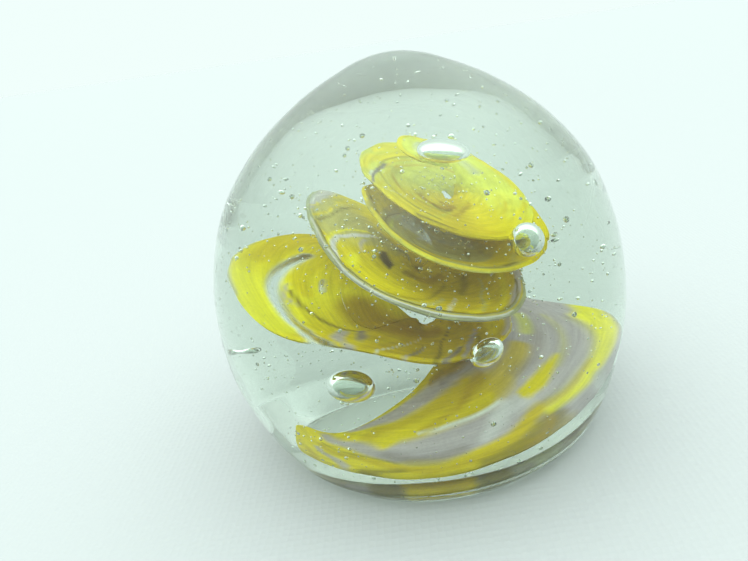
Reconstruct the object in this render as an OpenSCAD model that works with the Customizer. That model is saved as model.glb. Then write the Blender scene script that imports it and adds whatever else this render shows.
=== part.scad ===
// Solid glass paperweight: a clear dome with a flat ground foot, holding a
// tilted corkscrew of yellow and lilac glass and a handful of air bubbles.
// Millimetres. +Z up, origin at the centre of the flat foot.

/* [Dome] */
// Largest diameter of the clear dome
dome_d = 72; // [60:1:90]
// Height from the flat foot to the crown
dome_h = 66; // [55:1:80]
// Diameter of the flat foot that rests on the table
foot_d = 56; // [46:1:60]
// Height of the bevel between the foot and the side of the dome
bevel_h = 3.4; // [1.5:0.1:5]

/* [Clear core] */
// Largest diameter of the inner gather that carries the coloured glass
core_d = 57; // [54:0.5:60]
// Height of the inner gather
core_h = 50; // [48:0.5:54]
// Diameter of the inner gather at the foot
core_foot_d = 50; // [46:0.5:54]

/* [Corkscrew] */
// Thickness of the coloured sheets
sheet_t = 0.8; // [0.5:0.1:1.2]
// Angle between two cross-sections of a sheet, in degrees
sheet_step = 12; // [8:1:20]

/* [Bubbles] */
// Diameter of the bubble trapped under the top loop
top_bubble_d = 6.4; // [3:0.2:6.6]
// Diameter of the bubble at the right rim of the upper disc
side_bubble_d = 4.4; // [2:0.2:4.6]
// Diameter of the bubble beside the stem
stem_bubble_d = 4.2; // [2:0.2:4.4]
// Diameter of the bubble low on the left
low_bubble_d = 6; // [2:0.2:6.2]

/* [Hidden] */
eps = 0.01;
dome_r = dome_d / 2;
foot_r = foot_d / 2;
core_r = core_d / 2;

// Smooth curve through stations: column c of table t at key x.
function seg(t, x, i = 0) = (i >= len(t) - 2 || x < t[i + 1][0]) ? i : seg(t, x, i + 1);
function slope(t, i, c) =
    i <= 0 ? (t[1][c] - t[0][c]) / (t[1][0] - t[0][0]) :
    i >= len(t) - 1 ? (t[i][c] - t[i - 1][c]) / (t[i][0] - t[i - 1][0]) :
    let (a = t[i][0] - t[i - 1][0], b = t[i + 1][0] - t[i][0],
         p = (t[i][c] - t[i - 1][c]) / a, q = (t[i + 1][c] - t[i][c]) / b)
    (p * b + q * a) / (a + b);
function curve(t, x, c) =
    let (i = seg(t, x), h = t[i + 1][0] - t[i][0], u = (x - t[i][0]) / h)
    (2 * u * u * u - 3 * u * u + 1) * t[i][c] + (u * u * u - 2 * u * u + u) * h * slope(t, i, c)
    + (3 * u * u - 2 * u * u * u) * t[i + 1][c] + (u * u * u - u * u) * h * slope(t, i + 1, c);

// Side of the dome above the bevel: [share of the way, radius share, height share].
SIDE = [[0, 0.86, 0], [1, 0.925, 0.09], [2, 0.988, 0.23], [3, 0.998, 0.375], [4, 0.96, 0.52],
        [5, 0.86, 0.67], [6, 0.675, 0.805], [7, 0.45, 0.905], [8, 0.245, 0.965], [9, 0.12, 0.991], [10, 0, 1],
        [11, -0.12, 0.991]];
function side_pt(u) = [max(0, curve(SIDE, u, 1)) * dome_r, bevel_h + curve(SIDE, u, 2) * (dome_h - bevel_h)];

// Core gather: a rounded, slightly waisted bell.
BELL = [[0, 1, 0], [1, 1.02, 0.12], [2, 1.0, 0.3], [3, 0.985, 0.5], [4, 0.86, 0.7], [5, 0.62, 0.87], [6, 0.33, 0.97], [7, 0, 1]];
function bell_pt(u) = [max(0, curve(BELL, u, 1)) * (u < 1 ? core_foot_d / 2 + (core_r - core_foot_d / 2) * u : core_r),
                       curve(BELL, u, 2) * core_h];

// The corkscrew, station by station:
// [turn angle, centre x, centre y, rim height, tilt down to the right,
//  inner radius, outer radius, how far the inner edge is pulled up]
COIL = [
    [-170,  0,   0,    9,   0,  15, 19,   3.2],
    [-150,  0,   0,    8,   0,  15, 20,   2],
    [-120,  0,   0,    7,   0,  10, 23,   5],
    [ -90,  0,   0,    6.5, 0,   6, 24,   8],
    [ -45,  0,   0,    8.5, 0,   4, 24.5, 8],
    [   0,  0,   0,   13,   0,   3, 24.5, 6],
    [  20,  0,   0,   15,   1,   3, 22,   5],
    [  45,  0,   0,   17,   3,   3, 17.5, 4],
    [  90,  0,   0,   21.5, 6,   3, 16,   2],
    [ 135,  0,   0,   26,  10,   3, 20,   0],
    [ 180,  0,   0,   23.5, 14,  4, 24,   0],
    [ 210,  0,   0,   20.5, 15,  4, 22,   0],
    [ 230,  0,   0,   20.5, 16,  4, 17.5, 0],
    [ 270,  0,   0,   20.5, 18,  4, 15.5, 0],
    [ 320,  0,   0,   22,   21,  4, 12,   0],
    [ 360, -0.5, 0,   23,   23,  3, 11.5, 0],
    [ 450, -0.5, 0,   26.5, 27,  3, 14,   0],
    [ 495, -0.4, 0,   29,   28,  3, 15.5, 0],
    [ 540, -0.2, 0,   29,   28,  3, 13.5, 0],
    [ 630, -0.2, 0,   27.8, 27,  3, 16,   0],
    [ 720,  1,   0,   29.5, 28,  3, 12.5, 0],
    [ 810,  2,   0.5, 31,   28,  3, 11.5, 0],
    [ 900,  4,   1,   32.5, 28,  3, 10.5, 0],
    [ 990,  4,   1,   32,   28,  3, 13,   0],
    [1080,  4.8, 1.5, 34.5, 29,  3, 12.5, 0],
    [1170,  5,   2,   35.5, 29,  3, 13,   0],
    [1260,  5.4, 2,   35.5, 29,  3, 12,   0],
    [1350,  5.2, 2,   35.5, 29,  3, 12.5, 0],
    [1440,  5.6, 1.5, 37.5, 28,  2, 10,   0],
    [1530,  5.6, 1,   40,   26,  2, 6.5,  0],
    [1620,  5.6, 1,   41.5, 24,  2, 6.5,  0],
    [1710,  6,   1,   41.5, 22,  1.5, 6,  0]];

// A point of the corkscrew: angle a, share q of the way from the inner to the outer edge.
function coil_frame(a) = let (t = curve(COIL, a, 4)) [[cos(t), 0, -sin(t)], [0, 1, 0], [sin(t), 0, cos(t)]];
function coil_pt(a, q, lift) =
    let (f = coil_frame(a), ri = curve(COIL, a, 5), ro = curve(COIL, a, 6), r = ri + (ro - ri) * q)
    [curve(COIL, a, 1), curve(COIL, a, 2), curve(COIL, a, 3)]
    + r * cos(a) * f[0] + r * sin(a) * f[1] + (lift + curve(COIL, a, 7) * (1 - q)) * f[2];

// How far the two ends of a sheet have narrowed: 1 in the middle, small at the ends.
function ease(u) = u <= 0 ? 0.14 : u >= 1 ? 1 : 0.14 + 0.86 * sin(90 * u);
function narrow(a, a0, a1, run) = min(ease((a - a0) / run), ease((a1 - a) / run));

// A sheet of coloured glass that follows the corkscrew from angle a0 to a1,
// between shares q0 and q1 of its width, lens-shaped in section.
module sheet(a0, a1, q0, q1, lift = 0, t = sheet_t, run = 45) {
    n = ceil((a1 - a0) / sheet_step);
    m = 6;
    sec = [[0, 0], [0.3, 0.5], [0.7, 0.5], [1, 0], [0.7, -0.5], [0.3, -0.5]];
    pts = [for (i = [0:n]) let (a = a0 + (a1 - a0) * i / n, w = narrow(a, a0, a1, run),
                               qm = (q0 + q1) / 2, hw = (q1 - q0) / 2 * w)
           for (s = sec) coil_pt(a, qm + hw * (2 * s[0] - 1), lift + s[1] * t * (0.5 + 0.5 * w))];
    faces = concat(
        [[for (j = [0:m - 1]) j]],
        [[for (j = [0:m - 1]) n * m + m - 1 - j]],
        [for (i = [0:n - 1]) for (j = [0:m - 1]) for (k = [0, 1])
            let (p = i * m + j, q = i * m + (j + 1) % m)
            k == 0 ? [p, p + m, q + m] : [p, q + m, q]]);
    polyhedron(points = pts, faces = faces, convexity = 8);
}

// The lowest lap of the colour: a thick strand that follows the foot just
// under the front sweep and thins away at both ends.
// [turn angle, radius of its middle, half width, height of its middle, half thickness]
LAP = [[-160, 19.5, 0.6, 3.6, 0.4], [-145, 20, 1.4, 3.1, 1.1], [-120, 20.3, 1.8, 2.9, 1.4], [-105, 20.3, 2, 2.9, 1.5],
       [-85, 20.3, 1.8, 2.9, 1.4], [-55, 20.3, 1.6, 3, 1.3], [-25, 20, 1.2, 3.6, 1], [0, 19, 0.6, 4.4, 0.4]];
module lap() {
    m = 6;
    n = 20;
    sec = [[-1, 0], [-0.5, 0.9], [0.5, 0.9], [1, 0], [0.5, -0.9], [-0.5, -0.9]];
    pts = [for (i = [0:n]) let (a = -160 + 160 * i / n, r = curve(LAP, a, 1), w = curve(LAP, a, 2),
                               z = curve(LAP, a, 3), h = curve(LAP, a, 4))
           for (s = sec) [(r + w * s[0]) * cos(a), (r + w * s[0]) * sin(a), z + h * s[1]]];
    faces = concat(
        [[for (j = [0:m - 1]) j]],
        [[for (j = [0:m - 1]) n * m + m - 1 - j]],
        [for (i = [0:n - 1]) for (j = [0:m - 1]) for (k = [0, 1])
            let (p = i * m + j, q = i * m + (j + 1) % m)
            k == 0 ? [p, p + m, q + m] : [p, q + m, q]]);
    polyhedron(points = pts, faces = faces, convexity = 6);
}

module dome_solid() {
    rotate_extrude($fn = 180)
        polygon(concat([[0, 0], [foot_r, 0]], [for (i = [0:60]) side_pt(i / 6)]));
}
module core_solid() {
    rotate_extrude($fn = 180)
        polygon(concat([[0, 0]], [for (i = [0:42]) bell_pt(i / 6)]));
}

// A flattened bubble: width w, height h.
module bubble(w, h) {
    rotate_extrude($fn = 64)
        polygon([for (i = [0:16]) let (v = -90 + 180 * i / 16) [max(0, w / 2 * cos(v)), h / 2 * sin(v)]]);
}
module bubbles() {
    translate([5.3, -4, 44.6]) rotate([0, 12, 0]) bubble(top_bubble_d, top_bubble_d * 0.42);
    translate([13.9, -9.8, 33.3]) bubble(side_bubble_d, side_bubble_d);
    translate([6.9, -14.3, 20.4]) rotate([0, -30, 0]) bubble(stem_bubble_d, stem_bubble_d * 0.8);
    translate([-10.2, -13, 17.8]) rotate([0, 12, 0]) bubble(low_bubble_d, low_bubble_d * 0.7);
}

module coloured_glass() {
    top_loop_yellow(); upper_disc_yellow(); upper_disc_rim_yellow();
    window_dish_yellow(); window_dish_rim_yellow();
    saucer_yellow(); saucer_band_yellow(); saucer_rim_lilac();
    lower_saucer_yellow(); lower_saucer_lilac(); left_wing_yellow();
    stem_yellow(); back_sweep_yellow();
    right_sweep_lilac(); right_sweep_yellow(); right_sweep_rim_yellow();
    front_sweep_lilac(); front_sweep_yellow(); front_sweep_pale();
    base_rim_yellow(); foot_lap_yellow();
}

// Clear outer gather: the dome less the space the core fills.
module clear_casing() {
    color([0.88, 0.93, 0.91, 0.25]) difference() { dome_solid(); core_solid(); }
}
// Clear inner gather, with room for every sheet and bubble.
module clear_core() {
    color([0.9, 0.95, 0.92, 0.3]) difference() { core_solid(); coloured_glass(); bubbles(); }
}

yel = [0.85, 0.74, 0.05];
lil = [0.66, 0.6, 0.62];
module foot_lap_yellow()        { color(yel) lap(); }
module top_loop_yellow()        { color(yel) sheet(1445, 1706, 0.1, 1, 0, sheet_t * 0.8); }
module upper_disc_yellow()      { color([0.88, 0.8, 0.2]) sheet(1085, 1432, 0.05, 0.82, 0, sheet_t * 0.8); }
module upper_disc_rim_yellow()  { color(yel) sheet(1085, 1432, 0.86, 1, 0, sheet_t); }
module window_dish_yellow()     { color([0.7, 0.64, 0.2]) sheet(815, 1075, 0.05, 0.4, 0, sheet_t); }
module window_dish_rim_yellow() { color(yel) sheet(815, 1075, 0.76, 1, 0, sheet_t); }
module saucer_yellow()          { color(yel) sheet(445, 805, 0.05, 0.62, 0, sheet_t); }
module saucer_band_yellow()     { color(yel) sheet(445, 805, 0.66, 0.84, 0, sheet_t); }
module saucer_rim_lilac()       { color(lil) sheet(445, 805, 0.88, 1, 0, sheet_t); }
module lower_saucer_yellow()    { color(yel) sheet(215, 435, 0.05, 0.72, 0, sheet_t); }
module lower_saucer_lilac()     { color(lil) sheet(235, 435, 0.77, 1, 0, sheet_t); }
module left_wing_yellow()       { color(yel) sheet(112, 222, 0.35, 1, 0, sheet_t * 1.1, 40); }
module stem_yellow()            { color([0.6, 0.5, 0.1]) sheet(62, 205, 0.02, 0.3, 0, sheet_t * 1.2, 30); }
module back_sweep_yellow()      { color(yel) sheet(30, 105, 0.36, 1, 0, sheet_t, 30); }
module right_sweep_yellow()     { color(yel) sheet(-38, 56, 0.05, 0.33, 0, sheet_t * 1.2, 30); }
module right_sweep_lilac()      { color(lil) sheet(-60, 24, 0.38, 0.62, 0, sheet_t, 30); }
module right_sweep_rim_yellow() { color(yel) sheet(-52, 24, 0.67, 1, 0, sheet_t, 30); }
module front_sweep_yellow()     { color(yel) sheet(-146, -44, 0.05, 0.33, 0, sheet_t * 1.2, 40); }
module front_sweep_lilac()      { color(lil) sheet(-162, -66, 0.38, 0.62, 0, sheet_t, 35); }
module front_sweep_pale()       { color([0.72, 0.68, 0.66]) sheet(-164, -58, 0.67, 0.84, 0, sheet_t, 35); }
module base_rim_yellow()        { color(yel) sheet(-166, -58, 0.89, 1, 0, sheet_t * 1.3, 35); }

clear_casing();
clear_core();
top_loop_yellow();
upper_disc_yellow();
upper_disc_rim_yellow();
window_dish_yellow();
window_dish_rim_yellow();
saucer_yellow();
saucer_band_yellow();
saucer_rim_lilac();
lower_saucer_yellow();
lower_saucer_lilac();
left_wing_yellow();
stem_yellow();
back_sweep_yellow();
right_sweep_lilac();
right_sweep_yellow();
right_sweep_rim_yellow();
front_sweep_lilac();
front_sweep_yellow();
front_sweep_pale();
base_rim_yellow();
foot_lap_yellow();
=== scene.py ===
import bpy, bmesh, math, random
import numpy as np
from mathutils import Vector, Matrix


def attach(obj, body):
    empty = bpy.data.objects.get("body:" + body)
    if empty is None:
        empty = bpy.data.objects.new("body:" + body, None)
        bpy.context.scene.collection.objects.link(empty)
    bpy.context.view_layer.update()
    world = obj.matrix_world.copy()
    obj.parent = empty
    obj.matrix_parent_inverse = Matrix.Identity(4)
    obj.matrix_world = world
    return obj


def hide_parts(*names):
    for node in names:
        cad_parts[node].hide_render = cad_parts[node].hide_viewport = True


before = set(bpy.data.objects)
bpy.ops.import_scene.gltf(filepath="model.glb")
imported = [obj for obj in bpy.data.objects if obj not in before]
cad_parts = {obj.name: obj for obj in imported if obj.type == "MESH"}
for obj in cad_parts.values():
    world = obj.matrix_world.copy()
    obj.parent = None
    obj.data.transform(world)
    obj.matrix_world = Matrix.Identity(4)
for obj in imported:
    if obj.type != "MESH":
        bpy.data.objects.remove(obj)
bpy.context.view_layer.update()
scene = bpy.context.scene
MM = 0.001

# ------------------------------------------------------------------ camera
cam = bpy.data.cameras.new("camera")
cam_ob = bpy.data.objects.new("camera", cam)
scene.collection.objects.link(cam_ob)
scene.camera = cam_ob
cam.sensor_width = 36
cam.lens = 28.88
cam.clip_start, cam.clip_end = 0.001, 20
pitch, roll, dist = math.radians(18), math.radians(8.2), 0.1079
look = Vector((0, math.cos(pitch), -math.sin(pitch)))
up = Vector((0, math.sin(pitch), math.cos(pitch)))
right = Vector((1, 0, 0))
r2 = right * math.cos(roll) - up * math.sin(roll)
u2 = right * math.sin(roll) + up * math.cos(roll)
p0 = Vector((0, 0, 0.035)) - look * dist
cam_ob.matrix_world = Matrix(((r2.x, u2.x, -look.x, p0.x), (r2.y, u2.y, -look.y, p0.y),
                              (r2.z, u2.z, -look.z, p0.z), (0, 0, 0, 1)))
cam.shift_x, cam.shift_y = -38.2 / 748, -51 / 748

# ------------------------------------------------------------------ small tools
def link(name, mesh):
    o = bpy.data.objects.new(name, mesh)
    scene.collection.objects.link(o)
    return o

def mesh_from(name, verts, quads=None, tris=None, smooth=True):
    verts = np.asarray(verts, np.float32)
    loops, sizes = [], []
    for arr, k in ((quads, 4), (tris, 3)):
        if arr is not None and len(arr):
            arr = np.asarray(arr, np.int32).reshape(-1, k)
            loops.append(arr.ravel())
            sizes.append(np.full(len(arr), k, np.int32))
    loops, sizes = np.concatenate(loops), np.concatenate(sizes)
    me = bpy.data.meshes.new(name)
    me.vertices.add(len(verts))
    me.vertices.foreach_set("co", verts.ravel())
    me.loops.add(len(loops))
    me.loops.foreach_set("vertex_index", loops)
    me.polygons.add(len(sizes))
    me.polygons.foreach_set("loop_start", np.concatenate([[0], np.cumsum(sizes)[:-1]]).astype(np.int32))
    me.update(calc_edges=True)
    me.validate()
    me.polygons.foreach_set("use_smooth", np.full(len(me.polygons), smooth))
    me.update()
    return me

def lattice(n, seed):
    return np.random.RandomState(seed).rand(n, n) * 2 - 1

def noise2(x, y, seed=0):
    """Smooth value noise in [-1, 1], one cell per unit."""
    g = lattice(64, seed)
    xi, yi = np.floor(x).astype(int), np.floor(y).astype(int)
    fx, fy = x - xi, y - yi
    fx, fy = fx * fx * (3 - 2 * fx), fy * fy * (3 - 2 * fy)
    at = lambda i, j: g[i % 64, j % 64]
    return ((at(xi, yi) * (1 - fx) + at(xi + 1, yi) * fx) * (1 - fy)
            + (at(xi, yi + 1) * (1 - fx) + at(xi + 1, yi + 1) * fx) * fy)

def smooth(e0, e1, x):
    t = np.clip((x - e0) / (e1 - e0), 0, 1)
    return t * t * (3 - 2 * t)

def table(t):
    t = np.asarray(t, float)
    k, v = t[:, 0], t[:, 1:]
    h = np.diff(k)
    d = np.diff(v, axis=0) / h[:, None]
    m = np.empty_like(v)
    m[0], m[-1] = d[0], d[-1]
    m[1:-1] = (d[:-1] * h[1:, None] + d[1:] * h[:-1, None]) / (h[:-1] + h[1:])[:, None]
    def f(x):
        x = np.asarray(x, float)
        i = np.clip(np.searchsorted(k, x, side="right") - 1, 0, len(k) - 2)
        hh = h[i]
        u = ((x - k[i]) / hh)[..., None]
        hh = hh[..., None]
        return ((2 * u**3 - 3 * u * u + 1) * v[i] + (u**3 - 2 * u * u + u) * hh * m[i]
                + (3 * u * u - 2 * u**3) * v[i + 1] + (u**3 - u * u) * hh * m[i + 1])
    return f

# ------------------------------------------------------------------ the corkscrew, in mm
COIL = table([
    [-170, 0, 0, 9, 0, 15, 19, 3.2], [-150, 0, 0, 8, 0, 15, 20, 2], [-120, 0, 0, 7, 0, 10, 23, 5], [-90, 0, 0, 6.5, 0, 6, 24, 8],
    [-45, 0, 0, 8.5, 0, 4, 24.5, 8], [0, 0, 0, 13, 0, 3, 24.5, 6], [20, 0, 0, 15, 1, 3, 22, 5],
    [45, 0, 0, 17, 3, 3, 17.5, 4], [90, 0, 0, 21.5, 6, 3, 16, 2], [135, 0, 0, 26, 10, 3, 20, 0],
    [180, 0, 0, 23.5, 14, 4, 24, 0], [210, 0, 0, 20.5, 15, 4, 22, 0], [230, 0, 0, 20.5, 16, 4, 17.5, 0],
    [270, 0, 0, 20.5, 18, 4, 15.5, 0], [320, 0, 0, 22, 21, 4, 12, 0], [360, -0.5, 0, 23, 23, 3, 11.5, 0],
    [450, -0.5, 0, 26.5, 27, 3, 14, 0], [495, -0.4, 0, 29, 28, 3, 15.5, 0], [540, -0.2, 0, 29, 28, 3, 13.5, 0],
    [630, -0.2, 0, 27.8, 27, 3, 16, 0], [720, 1, 0, 29.5, 28, 3, 12.5, 0], [810, 2, 0.5, 31, 28, 3, 11.5, 0],
    [900, 4, 1, 32.5, 28, 3, 10.5, 0], [990, 4, 1, 32, 28, 3, 13, 0], [1080, 4.8, 1.5, 34.5, 29, 3, 12.5, 0],
    [1170, 5, 2, 35.5, 29, 3, 13, 0], [1260, 5.4, 2, 35.5, 29, 3, 12, 0], [1350, 5.2, 2, 35.5, 29, 3, 12.5, 0],
    [1440, 5.6, 1.5, 37.5, 28, 2, 10, 0], [1530, 5.6, 1, 40, 26, 2, 6.5, 0], [1620, 5.6, 1, 41.5, 24, 2, 6.5, 0],
    [1710, 6, 1, 41.5, 22, 1.5, 6, 0]])

def coil(a, q, lift):
    """Point of the corkscrew at turn angle a (degrees), share q of its width, lift along its normal (mm)."""
    c = COIL(a)
    t, ar = np.radians(c[..., 3]), np.radians(a)
    r = c[..., 4] + (c[..., 5] - c[..., 4]) * q
    n = lift + c[..., 6] * (1 - q)
    x, y = r * np.cos(ar), r * np.sin(ar)
    return np.stack([c[..., 0] + x * np.cos(t) + n * np.sin(t), c[..., 1] + y,
                     c[..., 2] - x * np.sin(t) + n * np.cos(t)], -1)

def ease(u):
    return np.where(u <= 0, 0.0, np.where(u >= 1, 1.0, np.sin(np.pi / 2 * np.clip(u, 0, 1))))

# ------------------------------------------------------------------ clear glass body
SIDE = table([[0, .86, 0], [1, .925, .09], [2, .988, .23], [3, .998, .375], [4, .96, .52], [5, .86, .67],
              [6, .675, .805], [7, .45, .905], [8, .245, .965], [9, .12, .991], [10, 0, 1], [11, -.12, .991]])
BEVEL = 3.4
FOOT = 28.0

def corner(p, q, r, cut, n=5):
    """Rounds the corner q between p and r, cut mm along each side."""
    p, q, r = map(np.array, (p, q, r))
    s = q + (p - q) / np.linalg.norm(p - q) * cut
    e = q + (r - q) / np.linalg.norm(r - q) * cut
    t = np.linspace(0, 1, n)[:, None]
    return [tuple(v) for v in (1 - t)**2 * s + 2 * t * (1 - t) * q + t * t * e]

def body_profile():
    side = SIDE(np.linspace(0, 10, 151))
    pts = [(max(0.0, a * 36), BEVEL + b * 62.6) for a, b in side]
    prof = [(r, 0.0) for r in (4, 10, 16, 21, 25, 27)]
    prof += corner((0, 0), (FOOT, 0), pts[0], 0.35)
    prof += [(FOOT + (pts[0][0] - FOOT) * k, BEVEL * k) for k in (0.35, 0.65)]
    prof += corner((FOOT, 0), pts[0], pts[2], 0.45)
    prof += pts[2:-1]
    return prof

def sway(z, th):
    """The hand-worked wander of the outside, in mm: sideways shift and swelling at height z, angle th."""
    dx = 0.55 * smooth(18, 2, z) + 0.4 * smooth(30, 64, z)
    dr = 0.1 * np.sin(2 * th + 0.7 + z * 0.02) * smooth(60, 40, z) + 0.03 * np.sin(3 * th - 1.1) * smooth(2, 10, z) * smooth(55, 35, z)
    return dx * smooth(0, 4, z) + 0.3 * smooth(4, 0, z), dr * smooth(0.5, 8, z)

def glass_body():
    prof = body_profile()
    n = 300
    th = np.linspace(0, 2 * np.pi, n, endpoint=False)
    rows = []
    for r, z in prof:
        dx, dr = sway(np.full(n, z), th)
        k = min(1.0, r / 12)
        rows.append(np.stack([(r + dr * k) * np.cos(th) + dx, (r + dr * k) * np.sin(th), np.full(n, z)], -1))
    dx = float(sway(np.array([66.0]), np.array([0.0]))[0][0])
    verts = np.concatenate(rows + [np.array([[dx, 0, BEVEL + 62.6], [0.3, 0, 0]])])
    m = len(prof)
    j = np.arange(n)
    k = (j + 1) % n
    quads = np.concatenate([np.stack([i * n + j, i * n + k, (i + 1) * n + k, (i + 1) * n + j], -1) for i in range(m - 1)])
    top = np.stack([(m - 1) * n + j, (m - 1) * n + k, np.full(n, m * n)], -1)
    bot = np.stack([k, j, np.full(n, m * n + 1)], -1)
    return verts, quads, np.concatenate([top, bot])

def ball(level):
    bm = bmesh.new()
    bmesh.ops.create_icosphere(bm, subdivisions=level, radius=1)
    v = np.array([x.co[:] for x in bm.verts])
    f = np.array([[x.index for x in g.verts] for g in bm.faces])
    bm.free()
    return v, f[:, ::-1]            # turned inside out: a void in the glass

BALLS = {k: ball(k) for k in (1, 2, 4)}

# ------------------------------------------------------------------ colours drawn into the corkscrew
def lin(r, g, b):
    return np.array([((v / 255 + 0.055) / 1.055) ** 2.4 if v > 10 else v / 255 / 12.92 for v in (r, g, b)])

TINT = {"bright": lin(248, 236, 40), "yellow": lin(232, 210, 2), "gold": lin(210, 182, 0), "amber": lin(176, 142, 6),
        "olive": lin(128, 112, 30), "brown": lin(112, 96, 44), "beige": lin(200, 190, 112), "lilac": lin(192, 180, 184),
        "pale": lin(226, 220, 222), "dusk": lin(150, 138, 132), "white": lin(240, 240, 236), "lemon": lin(232, 232, 92),
        "clear": lin(240, 244, 230), "sage": lin(176, 178, 138)}

# Ground colour of each stretch of the coil: [turn angle, colour, opacity].
GROUND = [(-150, "yellow", .97), (-120, "yellow", .97), (-60, "gold", .97), (-40, "lilac", .95), (60, "lilac", .95), (80, "amber", .97),
          (125, "gold", .96), (150, "yellow", .93), (185, "bright", .95), (215, "yellow", .96), (240, "gold", .98), (300, "gold", .98),
          (430, "gold", .97), (470, "yellow", .95), (500, "beige", .93), (535, "beige", .94), (560, "yellow", .97), (600, "yellow", .98),
          (640, "gold", .97), (720, "gold", .97), (800, "yellow", .95), (900, "yellow", .93), (935, "beige", .62), (1015, "beige", .6),
          (1045, "gold", .9), (1100, "yellow", .82), (1160, "lemon", .66), (1250, "lemon", .68), (1310, "yellow", .8), (1350, "gold", .93),
          (1400, "yellow", .88), (1450, "lemon", .8), (1700, "lemon", .75)]

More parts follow.
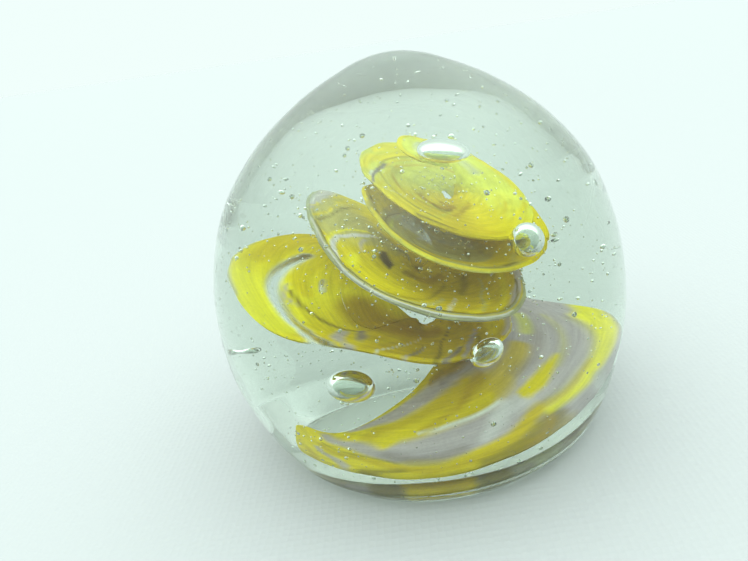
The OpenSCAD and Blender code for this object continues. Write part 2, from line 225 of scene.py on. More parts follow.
# Streaks laid over it, in order: (colour, opacity, strength, softness, [(turn angle, share of width, half width), ...]).
STREAKS = [
    # front of the base sweep
    ("gold", .97, .8, .05, [(-125, .34, .06), (-100, .36, .1), (-70, .33, .12), (-45, .36, .08), (-15, .36, .05)]),
    ("yellow", .97, .7, .05, [(-118, .42, .05), (-95, .4, .05), (-60, .42, .03)]),
    ("amber", .97, .6, .04, [(-100, .45, .012), (-80, .38, .015), (-66, .28, .02), (-50, .24, .03)]),
    ("lilac", .95, .95, .04, [(-136, .14, .04), (-115, .13, .09), (-90, .12, .07), (-60, .13, .03), (-40, .13, .03)]),
    ("dusk", .96, .6, .03, [(-84, .11, .012), (-62, .12, .012), (-40, .13, .01)]),
    ("amber", .97, .8, .03, [(-92, .03, .03), (-70, .06, .03), (-48, .08, .03)]),
    ("lilac", .95, .95, .05, [(-147, .28, .03), (-137, .4, .04), (-122, .55, .05), (-108, .72, .05)]),
    ("lilac", .95, 1, .05, [(-108, .62, .1), (-90, .66, .14), (-66, .62, .12), (-48, .58, .06)]),
    ("dusk", .96, .7, .07, [(-112, .66, .03), (-103, .78, .05), (-93, .8, .05), (-84, .76, .04)]),
    ("pale", .9, .9, .06, [(-74, .7, .02), (-65, .6, .05), (-58, .54, .04)]),
    ("white", .9, .9, .015, [(-102, .475, .004), (-88, .49, .012), (-70, .487, .01), (-58, .485, .004)]),
    ("pale", .9, .6, .05, [(-56, .56, .05), (-46, .6, .05)]),
    ("gold", .97, .95, .03, [(-147, .5, .02), (-141, .62, .025), (-124, .72, .03), (-112, .84, .03), (-97, .96, .04)]),
    ("olive", .97, .6, .02, [(-146, .44, .008), (-138, .57, .008), (-120, .68, .008), (-108, .8, .01)]),
    ("lilac", .9, .8, .03, [(-148, .62, .02), (-142, .72, .02), (-133, .82, .03), (-124, .97, .03)]),
    ("gold", .97, .95, .03, [(-149, .8, .03), (-143, .9, .03), (-139, 1, .03)]),
    ("olive", .97, .7, .04, [(-106, .93, .02), (-116, .99, .03)]),
    ("gold", .97, .95, .03, [(-95, .97, .03), (-80, .93, .03), (-66, .84, .035), (-52, .73, .04), (-42, .7, .03)]),
    ("olive", .96, .65, .06, [(-76, .99, .03), (-62, .95, .06), (-50, .88, .08), (-44, .84, .05)]),
    ("amber", .96, .6, .04, [(-60, .99, .02), (-50, .9, .02), (-44, .78, .02)]),
    # right of the sweep
    ("lilac", .95, .9, .06, [(-38, .66, .1), (-10, .66, .12), (15, .62, .1), (30, .75, .12), (38, .95, .1)]),
    ("beige", .95, .5, .05, [(-40, .73, .03), (-15, .76, .02), (15, .72, .02)]),
    ("yellow", .97, 1, .03, [(-45, .56, .04), (-36, .57, .045), (-26, .56, .03), (-16, .57, .008)]),
    ("dusk", .96, .5, .05, [(-38, .42, .02), (-24, .46, .03), (-5, .45, .03), (12, .45, .03)]),
    ("beige", .95, .5, .03, [(-22, .6, .015), (0, .58, .012), (18, .6, .01)]),
    ("lemon", .95, .6, .04, [(0, .4, .02), (18, .44, .03)]),
    ("bright", .95, .95, .05, [(-44, .77, .02), (-26, .81, .03), (0, .81, .05), (18, .83, .07), (27, .95, .04), (31, 1, .02)]),
    ("gold", .97, .6, .03, [(-45, .71, .02), (-34, .75, .015), (-15, .76, .01)]),
    ("lilac", .9, .9, .03, [(-34, .97, .05), (-31, .9, .04)]),
    ("pale", .5, .9, .05, [(-24, .97, .05), (-20, .9, .04)]),
    ("clear", .0, 1, .05, [(-8, 1.04, .09), (10, 1.05, .12), (18, 1.06, .08)]),
    # back of the sweep, hidden from the front
    ("lilac", .95, .8, .05, [(50, .7, .05), (70, .78, .03), (92, .86, .01)]),
    ("bright", .95, .7, .05, [(60, .45, .06), (85, .5, .05), (110, .42, .04)]),
    ("olive", .97, .6, .03, [(70, .62, .01), (95, .66, .02), (125, .72, .01)]),
    # left wing and the clear slit under it
    ("gold", .96, .7, .07, [(122, .8, .08), (140, .86, .1), (158, .82, .06)]),
    ("bright", .96, 1, .07, [(178, .88, .1), (196, .9, .12), (208, .88, .07)]),
    ("clear", .0, 1, .05, [(148, 1.02, .03), (165, 1.02, .05), (184, 1.03, .04)]),
    ("clear", .0, 1, .035, [(152, .63, .03), (178, .7, .025), (196, .74, .035), (211, .78, .03), (219, .9, .03), (225, 1.02, .03)]),
    ("yellow", .97, .9, .04, [(152, .52, .05), (172, .56, .05), (184, .52, .04)]),
    ("lilac", .9, .8, .015, [(178, .62, .006), (188, .66, .01), (194, .62, .01)]),
    ("bright", .96, .9, .02, [(194, .65, .02), (204, .67, .02)]),
    ("olive", .97, .9, .02, [(184, .61, .008), (198, .56, .01), (210, .5, .012), (222, .46, .01)]),
    ("clear", .1, .9, .012, [(171, .405, .01), (180, .402, .01)]),
    ("lilac", .93, .9, .03, [(216, .55, .03), (221, .7, .03), (228, .9, .025), (232, 1.0, .02)]),
    ("dusk", .97, .9, .04, [(221, .45, .02), (227, .6, .03), (231, .72, .02), (234, .82, .01)]),
    # lower saucer, front
    ("amber", .98, .8, .12, [(195, .22, .12), (225, .18, .16), (255, .16, .12), (285, .12, .08)]),
    ("yellow", .97, .6, .05, [(232, .9, .05), (238, .7, .05), (243, .5, .04)]),
    ("white", .95, .8, .012, [(242, 1.0, .008), (249, .78, .007), (256, .52, .006), (262, .3, .003)]),
    ("lilac", .94, .8, .02, [(257, 1.0, .012), (262, .8, .015), (266, .6, .006)]),
    ("olive", .97, .7, .03, [(260, .9, .012), (263, .72, .01), (266, .55, .006)]),
    ("olive", .97, .8, .02, [(272, 1.0, .015), (276, .7, .012), (281, .42, .012), (297, .2, .012)]),
    ("dusk", .96, .9, .03, [(277, 1.0, .025), (283, .82, .03), (291, .68, .015)]),
    ("lilac", .94, .9, .03, [(288, .95, .02), (296, .72, .03), (310, .56, .03), (322, .5, .02)]),
    ("olive", .96, .7, .03, [(296, 1.02, .02), (304, .82, .02), (312, .66, .02)]),
    ("yellow", .97, .8, .05, [(330, .75, .08), (360, .6, .1), (400, .55, .12)]),
    ("dusk", .96, .5, .03, [(340, .4, .02), (380, .46, .03), (420, .5, .02)]),
    ("lilac", .94, .8, .03, [(330, .95, .03), (370, .93, .04), (410, .95, .03)]),
    # saucer
    ("olive", .97, .7, .04, [(428, .35, .02), (440, .2, .03), (446, .05, .03)]),
    ("lemon", .8, .8, .02, [(459, .95, .012), (464, .62, .02), (474, .48, .01)]),
    ("yellow", .97, .9, .02, [(470, 1.0, .02), (473, .8, .02), (480, .65, .012)]),
    ("pale", .6, .95, .03, [(487, 1.02, .02), (497, .93, .05), (510, .95, .08), (524, 1.0, .05)]),
    ("clear", .25, .9, .04, [(503, 1.02, .05), (516, 1.02, .05)]),
    ("yellow", .97, .9, .01, [(481, 1.0, .008), (492, .88, .008), (506, .86, .006), (518, .9, .006), (526, 1.0, .006)]),
    ("yellow", .97, .9, .012, [(476, 1.0, .01), (488, .82, .012), (504, .72, .01), (518, .76, .012), (530, .9, .012), (536, 1.0, .012)]),
    ("olive", .97, .8, .018, [(480, .78, .006), (494, .69, .008), (508, .665, .01), (522, .72, .01), (536, .9, .01)]),
    ("beige", .95, .7, .06, [(484, .55, .05), (500, .5, .08), (520, .55, .07), (540, .75, .04), (550, .95, .03)]),
    ("bright", .97, .9, .02, [(515, .28, .015), (528, .48, .012), (545, .75, .01), (556, .86, .012), (571, 1.0, .015)]),
    ("pale", .9, 1, .025, [(517, .18, .03), (528, .33, .035), (541, .55, .022), (549, .72, .022), (562, .86, .03), (580, 1.0, .03)]),
    ("lilac", .92, .7, .03, [(538, .33, .02), (552, .42, .025), (566, .46, .01)]),
    ("bright", .97, .9, .07, [(572, .62, .03), (580, .75, .06), (584, .84, .04)]),
    ("yellow", .98, .8, .06, [(545, .16, .03), (556, .32, .04), (590, .4, .06), (612, .6, .1)]),
    ("brown", .98, 1, .045, [(556, .14, .03), (572, .18, .075), (586, .2, .07), (594, .26, .02)]),
    ("beige", .95, .9, .03, [(590, .97, .03), (620, .94, .03), (636, .8, .02), (644, .62, .015)]),
    ("olive", .97, .6, .03, [(612, .9, .015), (630, .72, .012), (641, .5, .012), (660, .25, .015)]),
    ("pale", .85, .8, .012, [(641, 1.0, .01), (648, .78, .01), (654, .6, .008)]),
    ("yellow", .97, .8, .03, [(652, 1.0, .02), (668, .82, .02), (682, .7, .012)]),
    ("beige", .95, .8, .02, [(662, .92, .01), (676, .66, .012), (690, .54, .012), (700, .46, .01)]),
    ("yellow", .97, .9, .03, [(668, 1.0, .03), (690, .85, .03), (708, .74, .04), (724, .7, .05)]),
    ("olive", .97, .5, .05, [(664, .5, .03), (680, .36, .04), (694, .26, .04)]),
    ("lilac", .92, .9, .03, [(682, 1.0, .02), (700, .93, .04), (722, .95, .05), (760, .96, .04), (800, .97, .03)]),
    ("pale", .85, .8, .03, [(706, 1.0, .02), (722, .99, .02)]),
    ("yellow", .97, .9, .05, [(694, .12, .03), (710, .35, .03), (722, .5, .03)]),
    ("amber", .97, .7, .07, [(610, .12, .05), (640, .16, .06), (672, .08, .05)]),
    ("lilac", .94, .7, .03, [(740, .6, .03), (780, .55, .04), (815, .6, .03)]),
    ("sage", .8, .9, .015, [(500, .985, .01), (540, 1.0, .03), (580, 1.03, .05), (640, 1.06, .06), (690, 1.04, .05), (720, 1.0, .03)]),
    ("gold", .95, .9, .008, [(545, 1.0, .006), (590, 1.02, .01), (640, 1.035, .012), (690, 1.02, .01), (716, .97, .008)]),
    # painted highlight: this thin pale line along the saucer's outer rim stands in for the bright highlight on the rim
    ("pale", .9, .8, .012, [(540, 1.0, .01), (590, 1.04, .016), (640, 1.07, .02), (680, 1.05, .012)]),
    ("olive", .96, .9, .01, [(540, .955, .006), (590, .975, .008), (640, .99, .01), (690, .975, .01), (716, .9, .01)]),
    ("dusk", .95, .7, .01, [(560, 1.035, .004), (600, 1.075, .004), (660, 1.1, .005), (700, 1.06, .004)]),
    # window dish
    ("yellow", .97, .9, .03, [(860, .98, .02), (885, .85, .03), (900, .55, .05), (912, .75, .07), (932, .96, .05)]),
    ("olive", .97, .9, .015, [(920, .42, .006), (931, .68, .01), (937, .84, .012), (943, 1.0, .012)]),
    ("lemon", .5, .8, .02, [(918, .36, .02), (926, .44, .015), (934, .6, .01), (944, .85, .015), (948, 1.0, .012)]),
    ("beige", .7, .8, .02, [(952, .98, .015), (950, .8, .015)]),
    ("gold", .95, .95, .035, [(958, .98, .03), (968, .9, .05), (985, .9, .06), (1005, .86, .08), (1025, .8, .12), (1040, .62, .08), (1048, .45, .04)]),
    ("olive", .96, .8, .02, [(956, .74, .01), (964, .83, .01), (975, .83, .012), (988, .8, .01)]),
    ("olive", .96, .9, .012, [(900, .9, .006), (930, .985, .008), (960, .99, .01), (990, .99, .012), (1018, .97, .012), (1036, .9, .01)]),
    ("yellow", .96, .9, .015, [(925, 1.03, .02), (960, 1.05, .02), (990, 1.05, .02), (1020, 1.03, .03), (1045, 1.0, .03)]),
    ("lemon", .9, .7, .01, [(940, 1.065, .008), (975, 1.08, .01), (1010, 1.07, .008)]),
    ("olive", .95, .9, .02, [(1003, .68, .01), (1008, .5, .018), (1009, .4, .012)]),
    ("pale", .5, .7, .04, [(962, .6, .02), (966, .48, .03), (971, .34, .015)]),
    ("clear", .2, .6, .08, [(1018, .3, .03), (1008, .18, .05), (985, .2, .06), (955, .25, .05)]),
    ("gold", .9, .9, .03, [(1026, .12, .03), (1040, .4, .03), (1052, .7, .03), (1062, .95, .02)]),
    # upper disc
    ("yellow", .93, .8, .03, [(1085, .97, .03), (1115, .94, .05), (1150, .93, .05), (1190, .93, .06), (1225, .95, .05)]),
    ("olive", .9, .5, .02, [(1090, .85, .008), (1130, .83, .008), (1170, .84, .01), (1200, .8, .008)]),
    ("yellow", .95, .8, .06, [(1200, .8, .05), (1225, .76, .08), (1240, .9, .06), (1262, .96, .04)]),
    ("lemon", .75, .8, .02, [(1201, .54, .015), (1206, .46, .02), (1211, .36, .012)]),
    ("lemon", .6, .6, .05, [(1186, .3, .03), (1215, .3, .04), (1240, .55, .04)]),
    ("dusk", .6, 1, .02, [(1233, .64, .02), (1245, .68, .03), (1262, .78, .025), (1276, .9, .018), (1288, 1.0, .012)]),
    ("clear", .3, .8, .02, [(1262, .83, .012), (1276, .95, .012)]),
    ("gold", .94, .6, .02, [(1222, .5, .01), (1252, .6, .01), (1280, .75, .01), (1292, .95, .01)]),
    ("white", .8, .6, .012, [(1295, .93, .006), (1299, .75, .008), (1304, .6, .006)]),
    ("amber", .95, .9, .05, [(1300, .3, .02), (1322, .38, .05), (1342, .3, .08), (1352, .16, .06), (1330, .08, .05)]),
    ("brown", .95, .6, .04, [(1326, .36, .03), (1338, .44, .03), (1346, .3, .03)]),
    ("olive", .94, .8, .04, [(1325, 1.0, .03), (1336, .96, .03), (1350, .96, .015)]),
    ("lemon", .6, .6, .02, [(1330, .8, .01), (1338, .6, .012), (1346, .4, .01)]),
    ("gold", .97, .9, .07, [(1348, .88, .05), (1362, .72, .07), (1384, .85, .05)]),
    ("amber", .95, .7, .05, [(1352, .45, .03), (1368, .2, .04), (1390, .1, .03)]),
    ("yellow", .93, .8, .03, [(1392, .97, .02), (1400, .72, .015), (1425, .8, .02), (1440, .95, .03)]),
    ("clear", .1, .9, .03, [(1395, 1.02, .03), (1401, .9, .02)]),
    ("lemon", .7, .5, .05, [(1410, .4, .05), (1425, .3, .06)]),
    ("amber", .95, .85, .02, [(1100, .52, .016), (1190, .5, .02), (1270, .52, .02), (1350, .5, .016)]),
    ("gold", .95, .75, .02, [(1100, .62, .012), (1160, .6, .014), (1215, .63, .012), (1290, .6, .014), (1360, .62, .012), (1430, .6, .01)]),
    ("olive", .94, .6, .012, [(1100, .72, .012), (1190, .71, .014), (1260, .73, .014), (1340, .71, .012)]),
    ("lemon", .7, .6, .02, [(1100, .46, .014), (1180, .45, .016), (1260, .47, .014), (1340, .45, .014)]),
    # top loop
    ("yellow", .93, .9, .06, [(1450, .93, .06), (1540, .93, .07), (1620, .94, .06), (1700, .95, .05)]),
    ("gold", .93, .8, .02, [(1450, .76, .012), (1530, .74, .014), (1610, .78, .012), (1690, .8, .01)]),
    ("clear", .25, .7, .1, [(1480, .35, .08), (1560, .4, .1), (1640, .4, .08)]),
]

def spread(a, q, pts, scale=60.0):
    """Signed distance from a streak: negative inside it."""
    best = np.full(a.shape, 9.0)
    for (a0, q0, w0), (a1, q1, w1) in zip(pts[:-1], pts[1:]):
        dx, dy = (a1 - a0) / scale, q1 - q0
        px, py = (a - a0) / scale, q - q0
        t = np.clip((px * dx + py * dy) / (dx * dx + dy * dy + 1e-9), 0, 1)
        best = np.minimum(best, np.hypot(px - t * dx, py - t * dy) - (w0 + (w1 - w0) * t))
    return best

def paint(a, q):
    """Colour (linear) and opacity of the corkscrew at turn angle a, share q of its width."""
    aw = a + 2.4 * noise2(a / 24 + 7, q * 5 + 3, 11)
    qw = q + 0.012 * noise2(a / 22 + 2, q * 5, 13) + 0.003 * noise2(a / 9, q * 14 + 5, 14)
    ga = np.array([g[0] for g in GROUND], float)
    gc = np.array([np.r_[TINT[g[1]], g[2]] for g in GROUND])
    fine = 5 * noise2(a / 9, q * 22, 15)
    col = np.stack([np.interp(aw + fine, ga, gc[:, k]) for k in range(4)], -1)
    for name, op, strength, soft, pts in STREAKS:
        lo, hi = min(p[0] for p in pts) - 25, max(p[0] for p in pts) + 25
        k = (a > lo) & (a < hi)
        if not k.any():
            continue
        w = strength * (1 - smooth(-soft * 0.5, soft, spread(aw[k], qw[k], pts)))[:, None]
        col[k] = col[k] * (1 - w) + np.r_[TINT[name], op] * w
    streak = noise2(a / 26 + 4 * q, q * 34 + noise2(a / 30, q * 3, 17) * 2, 16)
    fade = noise2(a / 14, q * 5, 18)
    col[:, :3] *= (1 + 0.1 * streak + 0.06 * fade)[:, None]
    col[:, 3] = np.clip(col[:, 3] + 0.04 * streak * (col[:, 3] < .9), 0, 1)
    return np.clip(col, 0.003, 1)

# ------------------------------------------------------------------ coloured sheets
INNER = [(-168, .16), (-150, .16), (-140, .1), (-131, 0), (-44, 0)]
FRONT_1 = [(-168, .4), (-150, .5), (-135, .45), (-118, .52), (-100, .49), (-60, .485), (-44, .46)]
FRONT_2 = [(-168, .6), (-150, .64), (-120, .69), (-90, .76), (-60, .72), (-44, .72)]
FRONT_3 = [(-168, .82), (-150, .84), (-120, .88), (-100, .945), (-80, .92), (-60, .86), (-44, .84)]
RIGHT_1 = [(-44, .46), (-30, .42), (0, .39), (30, .34), (56, .3)]
RIGHT_2 = [(-44, .72), (-20, .745), (10, .75), (30, .72), (56, .7)]
RIGHT_3 = [(-44, 1), (-22, .985), (-8, .93), (8, .91), (18, .93), (28, 1), (56, 1)]
STEM = [(56, .3), (90, .3), (140, .32), (180, .3), (222, .34)]
WING = [(112, 1), (140, .985), (165, .965), (185, 1), (215, 1), (222, 1)]
LOW = [(222, .74), (260, .76), (300, .74), (350, .76), (440, .75)]
DISH_1 = [(440, .62), (480, .66), (540, .62), (600, .66), (680, .62), (760, .66), (808, .64)]
DISH_2 = [(440, .86), (480, .9), (540, .93), (600, .96), (660, .97), (720, .9), (808, .86)]
DISH_3 = [(440, 1), (500, 1.0), (560, 1.04), (600, 1.08), (660, 1.1), (700, 1.06), (740, 1.02), (808, 1)]
WIN = [(808, .64), (850, .7), (930, .74), (1000, .76), (1080, .7)]
WIN_2 = [(808, 1), (870, 1.02), (930, 1.06), (980, 1.08), (1030, 1.06), (1080, 1)]
DISC = [(1080, .84), (1160, .83), (1250, .85), (1350, .84), (1440, .86)]

def const(v, a0, a1):
    return [(a0, v), (a1, v)]

# name, from, to, inner edge, outer edge, thickness mm, taper at start/end (degrees), free edges (inner, outer), slot
SHEETS = [
    ("front_sweep_yellow", -165, -44, INNER, FRONT_1, .85, (0, 0), (1, 0), "yellow_glass"),
    ("front_sweep_lilac", -165, -44, FRONT_1, FRONT_2, .85, (0, 0), (0, 0), "lilac_glass"),
    ("front_sweep_pale", -165, -44, FRONT_2, FRONT_3, .85, (0, 0), (0, 0), "lilac_glass"),
    ("base_rim_yellow", -165, -44, FRONT_3, const(1, -168, -44), .9, (0, 0), (0, 1), "yellow_glass"),
    ("right_sweep_yellow", -44, 56, const(0, -44, 56), RIGHT_1, .85, (0, 0), (1, 0), "yellow_glass"),
    ("right_sweep_lilac", -44, 56, RIGHT_1, RIGHT_2, .85, (0, 0), (0, 0), "lilac_glass"),
    ("right_sweep_rim_yellow", -44, 56, RIGHT_2, RIGHT_3, .85, (0, 0), (0, 1), "yellow_glass"),
    ("back_sweep_yellow", 56, 112, const(.3, 56, 112), const(1, 56, 112), .85, (0, 0), (0, 1), "yellow_glass"),
    ("stem_yellow", 56, 222, [(56, 0), (180, 0), (222, -.2)], STEM, .95, (0, 0), (1, 0), "yellow_glass"),
    ("left_wing_yellow", 112, 222, STEM, WING, .8, (0, 0), (0, 1), "yellow_glass"),
    ("lower_saucer_yellow", 222, 440, const(-.2, 222, 440), LOW, .75, (0, 0), (1, 0), "yellow_glass"),
    ("lower_saucer_lilac", 222, 440, LOW, const(1, 222, 440), .75, (0, 0), (0, 1), "lilac_glass"),
    ("saucer_yellow", 440, 808, const(-.2, 440, 808), DISH_1, .7, (0, 0), (1, 0), "yellow_glass"),
    ("saucer_band_yellow", 440, 808, DISH_1, DISH_2, .7, (0, 0), (0, 0), "yellow_glass"),
    ("saucer_rim_lilac", 440, 808, DISH_2, DISH_3, .55, (0, 0), (0, 1), "lilac_glass"),
    ("window_dish_yellow", 808, 1080, const(-.2, 808, 1080), WIN, .55, (0, 0), (1, 0), "thin_yellow_glass"),
    ("window_dish_rim_yellow", 808, 1080, WIN, WIN_2, .65, (0, 0), (0, 1), "yellow_glass"),
    ("upper_disc_yellow", 1080, 1440, const(-.2, 1080, 1440), DISC, .5, (0, 0), (1, 0), "thin_yellow_glass"),
    ("upper_disc_rim_yellow", 1080, 1440, DISC, const(1.02, 1080, 1440), .55, (0, 0), (0, 1), "thin_yellow_glass"),
    ("top_loop_yellow", 1440, 1706, const(-.15, 1440, 1706), const(1, 1440, 1706), .5, (0, 60), (1, 1), "thin_yellow_glass"),
]

def sheet_mesh(name, a0, a1, inner, outer, thick, taper, free, step=1.5, fine=0.42):
    qi, qo = table([(k, v) for k, v in inner]), table([(k, v) for k, v in outer])
    n = int(math.ceil((a1 - a0) / step)) + 1
    mid = COIL(np.array([(a0 + a1) / 2]))[0]
    width = (mid[5] - mid[4]) * float(np.mean(qo(np.linspace(a0, a1, 9)) - qi(np.linspace(a0, a1, 9))))
    m = max(8, int(width / fine) + 1)
    a = np.linspace(a0, a1, n)[:, None]
    s = np.linspace(0, 1, m)[None, :]
    s = s - 0.08 * np.sin(2 * np.pi * s) / (2 * np.pi) * 2
    lo, hi = qi(a[:, 0]), qo(a[:, 0])
    lo = lo + 0.006 * noise2(a[:, :1] / 9, a[:, :1] * 0 + 3, 31) * (0 < free[0])
    hi = hi + (0.012 * noise2(a[:, :1] / 17, a[:, :1] * 0 + 5, 32) + 0.006 * noise2(a[:, :1] / 6, a[:, :1] * 0 + 8, 33)) * free[1]
    w = np.ones_like(a)
    if taper[0]:
        w = np.minimum(w, ease((a - a0) / taper[0]))
    if taper[1]:
        w = np.minimum(w, ease((a1 - a) / taper[1]))
    w = 0.06 + 0.94 * w
    mid_q = (lo + hi) / 2
    q = mid_q + (lo + (hi - lo) * s - mid_q) * w
    if a0 < -140:
        tip = 0.04 + 0.96 * ease((a - a0) / 17)
        q = 0.56 + (q - 0.56) * tip
        w = w * (0.3 + 0.7 * tip)
    A = np.broadcast_to(a, q.shape)
    edge_in = np.sqrt(np.clip(1 - (1 - np.clip(s / .16, 0, 1)) ** 2, 0, 1)) if free[0] else 0.97 + 0.03 * smooth(0, .04, s)
    edge_out = np.sqrt(np.clip(1 - (1 - np.clip((1 - s) / .16, 0, 1)) ** 2, 0, 1)) if free[1] else 0.97 + 0.03 * smooth(0, .04, 1 - s)
    half = thick / 2 * np.minimum(edge_in, edge_out) * (0.25 + 0.75 * w) * (1 + 0.18 * noise2(A / 30, q * 4, 34))
    lift = 0.22 * noise2(A / 38, q * 2.2, 35) + 0.07 * noise2(A / 12, q * 9, 36)
    lip = smooth(.8, 1.0, q) * smooth(225, 260, A) * (0.3 + 0.1 * noise2(A / 50, q * 0, 37))
    top, bot = coil(A, q, lift + lip + half), coil(A, q, lift + lip - half)
    ring = np.concatenate([top, bot[:, ::-1][:, 1:-1]], 1)
    k = ring.shape[1]
    i, j = np.arange(n - 1)[:, None], np.arange(k)[None, :]
    jj = (j + 1) % k
    quads = np.stack([i * k + j, (i + 1) * k + j, (i + 1) * k + jj, i * k + jj], -1).reshape(-1, 4)
    caps = []
    for x in range(m - 1):                      # close both ends between the top and bottom skins
        u0, u1 = x, x + 1
        b0, b1 = (k - x) % k, (k - x - 1) % k
        if x == 0:
            caps.append((u0, u1, b1))
        elif x == m - 2:
            caps.append((u0, u1, b0))
        else:
            caps += [(u0, u1, b1), (u0, b1, b0)]
    e = (n - 1) * k
    caps = caps + [(e + c[0], e + c[2], e + c[1]) for c in caps]
    me = mesh_from(name, ring.reshape(-1, 3) * MM, quads, caps)
    both = lambda arr: np.concatenate([arr, arr[:, ::-1][:, 1:-1]], 1)
    aa, qq = both(A), both(q)
    col = paint(aa.ravel(), qq.ravel())
    t = me.attributes.new("tint", "FLOAT_COLOR", "POINT")
    t.data.foreach_set("color", col.astype(np.float32).ravel())
    c = COIL(aa.ravel())
    r = c[:, 4] + (c[:, 5] - c[:, 4]) * qq.ravel()
    run = np.radians(aa.ravel()) * 12
    f = me.attributes.new("flow", "FLOAT_VECTOR", "POINT")
    f.data.foreach_set("vector", np.stack([run, r, qq.ravel()], -1).astype(np.float32).ravel())
    bm = bmesh.new()
    bm.from_mesh(me)
    bmesh.ops.recalc_face_normals(bm, faces=bm.faces)
    bm.to_mesh(me)
    bm.free()
    me.polygons.foreach_set("use_smooth", np.full(len(me.polygons), True))
    me.set_sharp_from_angle(angle=math.radians(48))
    return me, np.stack([A.ravel(), q.ravel()], -1), top.reshape(-1, 3), col

def node(nt, kind, **kw):
    n = nt.nodes.new(kind)
    for k, v in kw.items():
        if k.startswith("_"):
            setattr(n, k[1:], v)
        else:
            n.inputs[k].default_value = v
    return n

def sheet_material(name, rough, streak_amt, seed):
    m = bpy.data.materials.new(name)
    m.use_nodes = True
    nt = m.node_tree
    b = nt.nodes["Principled BSDF"]
    tint = node(nt, "ShaderNodeAttribute", _attribute_name="tint")
    flow = node(nt, "ShaderNodeAttribute", _attribute_name="flow")
    mapn = node(nt, "ShaderNodeMapping", Scale=(0.16, 2.6, 1.0), Location=(seed, seed * 1.7, 0))
    nt.links.new(flow.outputs["Vector"], mapn.inputs["Vector"])
    st = node(nt, "ShaderNodeTexNoise", Scale=1.0, Detail=5.0, Roughness=0.62, Distortion=0.35)
    nt.links.new(mapn.outputs[0], st.inputs["Vector"])
    ramp = node(nt, "ShaderNodeMapRange", **{"From Min": 0.3, "From Max": 0.72, "To Min": 1 - streak_amt, "To Max": 1 + streak_amt * 0.7})
    nt.links.new(st.outputs[0], ramp.inputs["Value"])
    grain = node(nt, "ShaderNodeTexNoise", Scale=2600.0, Detail=2.0)
    geo = node(nt, "ShaderNodeTexCoord")
    nt.links.new(geo.outputs["Object"], grain.inputs["Vector"])
    gr = node(nt, "ShaderNodeMapRange", **{"From Min": 0.3, "From Max": 0.7, "To Min": 0.95, "To Max": 1.05})
    nt.links.new(grain.outputs[0], gr.inputs["Value"])
    mul = node(nt, "ShaderNodeMath", _operation="MULTIPLY")
    nt.links.new(ramp.outputs[0], mul.inputs[0])
    nt.links.new(gr.outputs[0], mul.inputs[1])
    sc = node(nt, "ShaderNodeVectorMath", _operation="SCALE")
    nt.links.new(tint.outputs["Color"], sc.inputs[0])
    nt.links.new(mul.outputs[0], sc.inputs["Scale"])
    nt.links.new(sc.outputs[0], b.inputs["Base Color"])
    nt.links.new(tint.outputs["Alpha"], b.inputs["Alpha"])
    bump = node(nt, "ShaderNodeBump", Strength=0.35, Distance=0.00012)
    nt.links.new(st.outputs[0], bump.inputs["Height"])
    nt.links.new(bump.outputs[0], b.inputs["Normal"])
    b.inputs["Roughness"].default_value = rough
    b.inputs["Specular IOR Level"].default_value = 0.0
    return m

MATS = {"yellow_glass": sheet_material("yellow_glass", 0.55, 0.16, 3.1),
        "thin_yellow_glass": sheet_material("thin_yellow_glass", 0.5, 0.12, 8.4),
        "lilac_glass": sheet_material("lilac_glass", 0.6, 0.12, 15.7)}

def finish_sheet(me, aa, qq, flow, col):
    t = me.attributes.new("tint", "FLOAT_COLOR", "POINT")
    t.data.foreach_set("color", col.astype(np.float32).ravel())
    f = me.attributes.new("flow", "FLOAT_VECTOR", "POINT")
    f.data.foreach_set("vector", flow.astype(np.float32).ravel())

# The lowest lap: a thick strand round the foot. [turn angle, radius, half width, height, half thickness]
LAP = table([[-160, 19.5, .6, 3.6, .4], [-145, 20, 1.4, 3.1, 1.1], [-120, 20.3, 1.8, 2.9, 1.4], [-105, 20.3, 2, 2.9, 1.5],
             [-85, 20.3, 1.8, 2.9, 1.4], [-55, 20.3, 1.6, 3, 1.3], [-25, 20, 1.2, 3.6, 1], [0, 19, .6, 4.4, .4]])

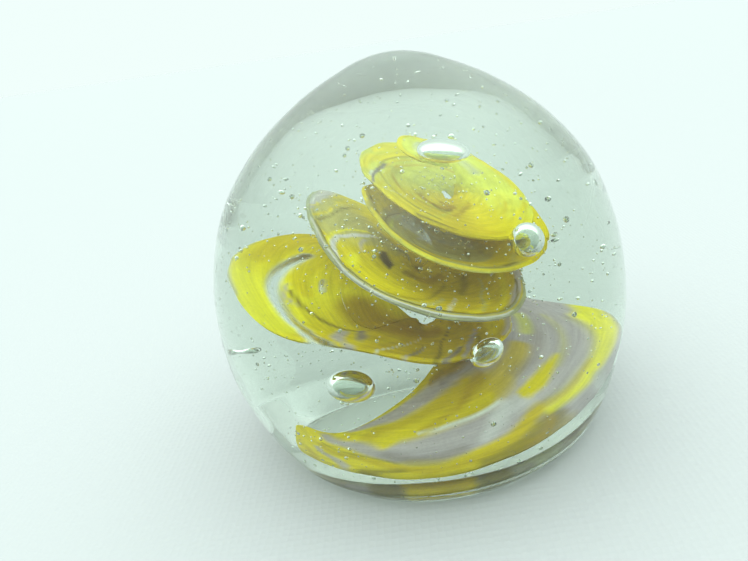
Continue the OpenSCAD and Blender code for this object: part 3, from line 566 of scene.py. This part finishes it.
def lap_mesh():
    a = np.linspace(-160, 0, 121)[:, None]
    t = np.linspace(0, 2 * np.pi, 40, endpoint=False)[None, :]
    c = LAP(a[:, 0])
    w = ease(np.minimum((a + 160) / 12, -a / 14)) * .98 + .02
    sx, sz = np.cos(t), np.sin(t) * (1 - 0.25 * np.cos(t) ** 2)
    r = c[:, :1] + c[:, 1:2] * sx * w + 0.1 * noise2(a / 20, sx * 2 + 3, 51) * w
    z = c[:, 2:3] + c[:, 3:4] * sz * w + 0.08 * noise2(a / 16, sx * 3, 52) * w
    A = np.radians(a)
    v = np.stack([r * np.cos(A), r * np.sin(A), z], -1)
    n, k = r.shape
    i, j = np.arange(n - 1)[:, None], np.arange(k)[None, :]
    jj = (j + 1) % k
    quads = np.stack([i * k + j, i * k + jj, (i + 1) * k + jj, (i + 1) * k + j], -1).reshape(-1, 4)
    caps = [(0, x + 1, x) for x in range(1, k - 1)] + [((n - 1) * k, (n - 1) * k + x, (n - 1) * k + x + 1) for x in range(1, k - 1)]
    me = mesh_from("foot_lap_yellow", v.reshape(-1, 3) * MM, quads, caps)
    aa, qq = np.broadcast_to(a, r.shape).ravel(), np.broadcast_to(sx, r.shape).ravel()
    # Painted shade: the dull sage-to-dusk ground stands in for the shaded olive-grey seen under the ribbons round the
    # foot. The gold band at -93 degrees is the glass's own yellow; the olive bands beside it are partly darker glass
    # and partly painted shade.
    w = np.clip(0.45 + 0.8 * noise2(aa / 16, qq * 2.2 + 9, 53), 0, 1)[:, None]
    col = TINT["sage"] * (1 - w) + TINT["dusk"] * w
    here = lambda mid, half, soft: (1 - smooth(half, half + soft, np.abs(aa + 2 * noise2(aa / 8, qq * 3, 54) - mid)))[:, None]
    for mid, half, soft, tint, amount in [(-93, 12, 4, "gold", 1), (-113, 4, 5, "olive", .8), (-73, 4, 5, "olive", .8),
                                          (-50, 4, 6, "sage", .8), (-138, 5, 6, "olive", .5), (-30, 6, 6, "olive", .5)]:
        k2 = here(mid, half, soft) * amount
        col = col * (1 - k2) + TINT[tint] * k2
    finish_sheet(me, aa, qq, np.stack([np.radians(aa) * 20, qq * 4, qq], -1), np.concatenate([col, np.full((len(aa), 1), .98)], 1))
    bm = bmesh.new()
    bm.from_mesh(me)
    bmesh.ops.recalc_face_normals(bm, faces=bm.faces)
    bm.to_mesh(me)
    bm.free()
    me.polygons.foreach_set("use_smooth", np.full(len(me.polygons), True))
    return me, v.reshape(-1, 3)

surface = []
me, top = lap_mesh()
me.materials.append(MATS["yellow_glass"])
o = link("glass_foot_lap_yellow", me)
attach(o, "root")
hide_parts("foot_lap_yellow")
surface.append(top)
for name, a0, a1, inner, outer, thick, taper, free, slot in SHEETS:
    me, aq, top, col = sheet_mesh(name, a0, a1, inner, outer, thick, taper, free)
    me.materials.append(MATS[slot])
    o = link("glass_" + name, me)
    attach(o, "root")
    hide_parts(name)
    surface.append(top)
surface = np.concatenate(surface)

# ------------------------------------------------------------------ bubbles and the clear body
from mathutils import Euler
from mathutils.kdtree import KDTree

tree = KDTree(len(surface))
for i, p in enumerate(surface):
    tree.insert(p, i)
tree.balance()

# centre (mm), half sizes (mm), turn (degrees)
BIG = [((5.3, -3.9, 44.4), (3.4, 2.8, 1.4), (0, 12, 0)), ((13.9, -9.8, 33.3), (2.25, 2.2, 2.2), (0, 0, 0)),
       ((6.9, -14.3, 20.4), (2.35, 1.9, 1.75), (0, -30, 0)), ((-10.2, -13, 17.8), (3.1, 2.7, 2.2), (0, 12, 0))]

# Small bubbles that stand out one by one: centre, radius (mm).
SMALL = [((20.2, -17.2, 38.3), .5), ((10.1, -19.8, 44.2), .42), ((16.7, -14.8, 45.5), .42), ((-4.7, -13.0, 52.4), .42),
         ((-6.8, -13.9, 51.2), .34), ((-7.3, -14.6, 50.5), .3), ((-15.0, -15.4, 46.1), .42), ((-2.2, -30.3, 24.3), .4),
         ((6.9, -29.1, 15.6), .42), ((19.4, -21.1, 26.1), .42), ((-14.5, -20.2, 40.4), .34), ((7.0, -8.5, 54.5), .3),
         ((18.2, -20.7, 33.4), .3)]

def inside(p, margin):
    """True where p (mm) is at least margin inside the dome."""
    z = p[2]
    if z < margin or z > 65 - margin:
        return False
    zs, rs = np.array([q[1] for q in PROFILE]), np.array([q[0] for q in PROFILE])
    return math.hypot(p[0], p[1]) < np.interp(z, zs[6:], rs[6:]) - margin

PROFILE = body_profile()

def make_glass():
    verts, quads, tris = glass_body()
    V, T, off = [verts], [tris], len(verts)
    def add(level, centre, half, turn=(0, 0, 0)):
        nonlocal off
        v, f = BALLS[level]
        R = np.array(Euler([math.radians(x) for x in turn]).to_matrix())
        V.append((v * np.array(half)) @ R.T + np.array(centre))
        T.append(f + off)
        off += len(v)
    for c, h, r in BIG:
        add(4, c, h, r)
    rnd = random.Random(41)
    kept = []
    def clear_of(p, r):
        if any((p[0] - k[0])**2 + (p[1] - k[1])**2 + (p[2] - k[2])**2 < (r + k[3] + .08)**2 for k in kept):
            return False
        if any((p[0] - c[0])**2 + (p[1] - c[1])**2 + (p[2] - c[2])**2 < (r + max(h) + .15)**2 for c, h, _ in BIG):
            return False
        return tree.find(p)[2] > r + 0.55 and inside(p, r + 0.8)
    for p, size in SMALL:
        if clear_of(p, size):
            kept.append((*p, size))
            add(2, p, (size, size, size * .92), (0, 0, 0))
    count, tries = 0, 0
    while count < 3200 and tries < 120000:
        tries += 1
        if rnd.random() < 0.62:                     # caught between the gathers, just off the coloured sheets
            s = surface[rnd.randrange(len(surface))]
            d = np.array([rnd.gauss(0, 1) for _ in range(3)])
            p = s + d / np.linalg.norm(d) * rnd.uniform(0.7, 2.6)
        else:
            t, r = rnd.uniform(0, 2 * math.pi), 34 * math.sqrt(rnd.random())
            p = np.array([r * math.cos(t), r * math.sin(t), rnd.uniform(3, 63)])
        size = min(0.4, 0.115 * math.exp(rnd.gauss(0, 0.42)))
        p = tuple(float(x) for x in p)
        if not clear_of(p, size):
            continue
        kept.append((*p, size))
        long = rnd.uniform(1, 1.35)
        add(2 if size > 0.2 else 1, p, (size * long, size, size * rnd.uniform(.75, 1)),
            (rnd.uniform(-20, 20), rnd.uniform(-30, 30), rnd.uniform(0, 180)))
        count += 1
    return mesh_from("glass_body", np.concatenate(V) * MM, quads, np.concatenate(T))

def glass_material():
    m = bpy.data.materials.new("clear_glass")
    m.use_nodes = True
    nt = m.node_tree
    b = nt.nodes["Principled BSDF"]
    b.inputs["Base Color"].default_value = (.66, .75, .66, 1)
    b.inputs["Transmission Weight"].default_value = 1
    b.inputs["IOR"].default_value = 1.5
    tc = node(nt, "ShaderNodeTexCoord")         # polished outside, ground matt under the foot
    sep = node(nt, "ShaderNodeSeparateXYZ")
    nt.links.new(tc.outputs["Object"], sep.inputs[0])
    grind = node(nt, "ShaderNodeMapRange", **{"From Min": 0.00002, "From Max": 0.00012, "To Min": 0.75, "To Max": 0.0})
    nt.links.new(sep.outputs["Z"], grind.inputs["Value"])
    nt.links.new(grind.outputs[0], b.inputs["Roughness"])
    return m

glass = link("glass_body", make_glass())
glass.data.materials.append(glass_material())
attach(glass, "root")
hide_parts("clear_casing", "clear_core")

# ------------------------------------------------------------------ floor and light
def floor_material():
    m = bpy.data.materials.new("floor_cloth")
    m.use_nodes = True
    nt = m.node_tree
    b = nt.nodes["Principled BSDF"]
    b.inputs["Base Color"].default_value = (.376, .384, .384, 1)
    b.inputs["Roughness"].default_value = .95
    b.inputs["Specular IOR Level"].default_value = .1
    tc = node(nt, "ShaderNodeTexCoord")
    v = node(nt, "ShaderNodeTexVoronoi", Scale=900.0, Randomness=.25)
    nt.links.new(tc.outputs["Object"], v.inputs["Vector"])
    bump = node(nt, "ShaderNodeBump", Strength=.25, Distance=.0004)
    nt.links.new(v.outputs[0], bump.inputs["Height"])
    nt.links.new(bump.outputs[0], b.inputs["Normal"])
    return m

floor = link("floor", mesh_from("floor", [(-8, -8, -.0001), (8, -8, -.0001), (8, 8, -.0001), (-8, 8, -.0001)], [(0, 1, 2, 3)]))
floor.data.materials.append(floor_material())

world = bpy.data.worlds.new("tent")
scene.world = world
world.use_nodes = True
nt = world.node_tree
bg = nt.nodes["Background"]
bg.inputs["Color"].default_value = (0.88, 1.0, 0.972, 1)
tc = node(nt, "ShaderNodeTexCoord")
sep = node(nt, "ShaderNodeSeparateXYZ")
nt.links.new(tc.outputs["Generated"], sep.inputs[0])
ramp = node(nt, "ShaderNodeValToRGB")
nt.links.new(sep.outputs["Z"], ramp.inputs[0])
stops = [(0.0, .322), (0.16, .322), (0.35, .4), (0.62, .74), (0.85, 1.1), (1.0, 1.15)]
while len(ramp.color_ramp.elements) < len(stops):
    ramp.color_ramp.elements.new(0.5)
for e, (pos, v) in zip(ramp.color_ramp.elements, stops):
    e.position, e.color = pos, (v, v, v, 1)
gain = node(nt, "ShaderNodeMath", _operation="MULTIPLY")
gain.inputs[1].default_value = 3.1
nt.links.new(ramp.outputs[0], gain.inputs[0])
nt.links.new(gain.outputs[0], bg.inputs["Strength"])

scene.view_settings.view_transform = "Standard"
scene.cycles.max_bounces = 32
scene.cycles.transmission_bounces = 32
scene.cycles.glossy_bounces = 24
scene.cycles.diffuse_bounces = 10
scene.cycles.transparent_max_bounces = 24
